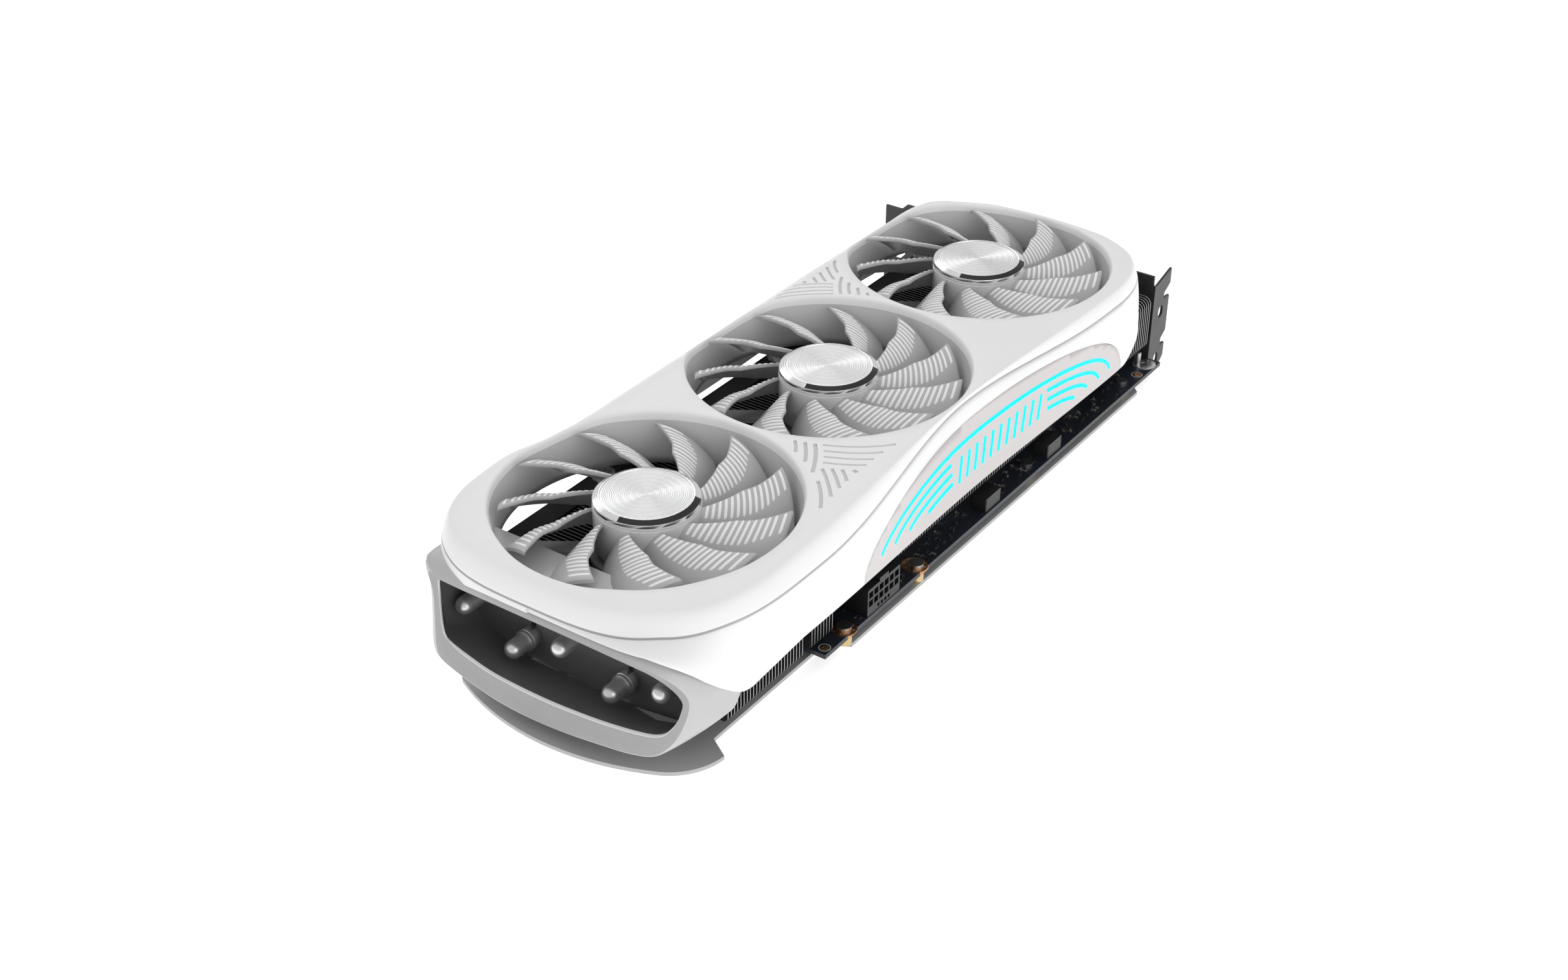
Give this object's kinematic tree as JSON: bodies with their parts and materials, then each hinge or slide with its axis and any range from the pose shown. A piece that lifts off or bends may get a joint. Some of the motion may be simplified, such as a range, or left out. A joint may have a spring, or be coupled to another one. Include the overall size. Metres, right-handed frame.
{
  "type": "graphics card",
  "caption": "Triple-fan graphics card: white shroud with light panel, finned heat pipe cooler, dark circuit board, backplate, steel bracket and slot edge connector.",
  "frame": {"origin": "centre of the bounding box's underside, on the backplate's outer face", "axes": "+X towards the I/O bracket, +Y towards the slot connector's edge, +Z out of the fans"},
  "size_m": [0.319, 0.1324, 0.0584],
  "materials": {
    "shroud_white": "satin white moulding with a very fine grain",
    "panel_grey": "warm light grey, satin",
    "light_cyan": "lit light guide",
    "end_metal": "metallic grey paint with fine speckle",
    "fan_grey": "light grey satin moulding",
    "spider_grey": "grey moulding",
    "cap_aluminium": "turned, fine concentric rings",
    "magnet_dark": "bonded ferrite",
    "shaft_steel": "ground",
    "bearing_brass": "sintered",
    "stator_copper": "wound laminations",
    "screw_steel": "nickel plated",
    "pipe_nickel": "satin nickel plating",
    "plate_nickel": "nickel plated, ground",
    "fin_dark": "blackened, bright folded edges",
    "rail_dark": "black paint",
    "board_dark": "near-black solder mask",
    "package_green": "laminate",
    "die_silicon": "polished silicon",
    "chip_black": "moulded, fine grain",
    "pad_grey": "soft thermal pad",
    "choke_grey": "pressed powder",
    "can_alu": "can",
    "contact_gold": "gold plating",
    "connector_black": "moulded",
    "connector_white": "moulded",
    "standoff_brass": "turned",
    "brace_steel": "stamped",
    "backplate_grey": "light grey paint, fine speckle",
    "bracket_dark": "dark grey paint",
    "port_steel": "stamped shell"
  },
  "bodies": {
    "card": {"shroud_top_plate": "shroud_white", "shroud_side_frame": "shroud_white", "side_light_panel": "panel_grey", "light_bars": "light_cyan", "led_strip": "board_dark", "end_frame": "end_metal", "shroud_screws": "screw_steel", "fan_screws": "screw_steel", "heat_pipes_upper": "pipe_nickel", "heat_pipes_lower": "pipe_nickel", "cold_plate": "plate_nickel", "fin_stack_tail": "fin_dark", "fin_stack_main": "fin_dark", "cooler_rails": "rail_dark", "pcb": "board_dark", "gpu_package": "package_green", "gpu_die": "die_silicon", "memory_chips": "chip_black", "thermal_pads": "pad_grey", "chokes": "choke_grey", "mosfets": "chip_black", "capacitors": "can_alu", "power_connector": "connector_black", "power_pins": "contact_gold", "gold_fingers": "contact_gold", "fan_headers": "connector_white", "power_stage_blocks": "connector_black", "board_screws": "screw_steel", "standoffs": "standoff_brass", "io_post": "screw_steel", "cross_brace": "brace_steel", "brace_screws": "screw_steel", "backplate": "backplate_grey", "backplate_screws": "screw_steel", "io_bracket": "bracket_dark", "displayport_sockets": "port_steel", "hdmi_socket": "port_steel", "fan_tail_bearing": "bearing_brass", "fan_tail_stator": "stator_copper", "fan_tail_spider": "spider_grey", "fan_middle_bearing": "bearing_brass", "fan_middle_stator": "stator_copper", "fan_middle_spider": "spider_grey", "fan_io_bearing": "bearing_brass", "fan_io_stator": "stator_copper", "fan_io_spider": "spider_grey"},
    "fan_tail": {"fan_tail_rotor": "fan_grey", "fan_tail_hub_cap": "cap_aluminium", "fan_tail_magnet_ring": "magnet_dark", "fan_tail_shaft": "shaft_steel"},
    "fan_middle": {"fan_middle_rotor": "fan_grey", "fan_middle_hub_cap": "cap_aluminium", "fan_middle_magnet_ring": "magnet_dark", "fan_middle_shaft": "shaft_steel"},
    "fan_io": {"fan_io_rotor": "fan_grey", "fan_io_hub_cap": "cap_aluminium", "fan_io_magnet_ring": "magnet_dark", "fan_io_shaft": "shaft_steel"}
  },
  "joints": [
    {"name": "fan_tail_spin", "type": "hinge", "parent": "card", "child": "fan_tail", "pos_m": [-0.1031, -0.0078, 0.05], "axis": [0, 0, 1], "continuous": true},
    {"name": "fan_middle_spin", "type": "hinge", "parent": "card", "child": "fan_middle", "pos_m": [-0.0055, -0.0078, 0.05], "axis": [0, 0, 1], "continuous": true},
    {"name": "fan_io_spin", "type": "hinge", "parent": "card", "child": "fan_io", "pos_m": [0.0921, -0.0078, 0.05], "axis": [0, 0, 1], "continuous": true}
  ]
}
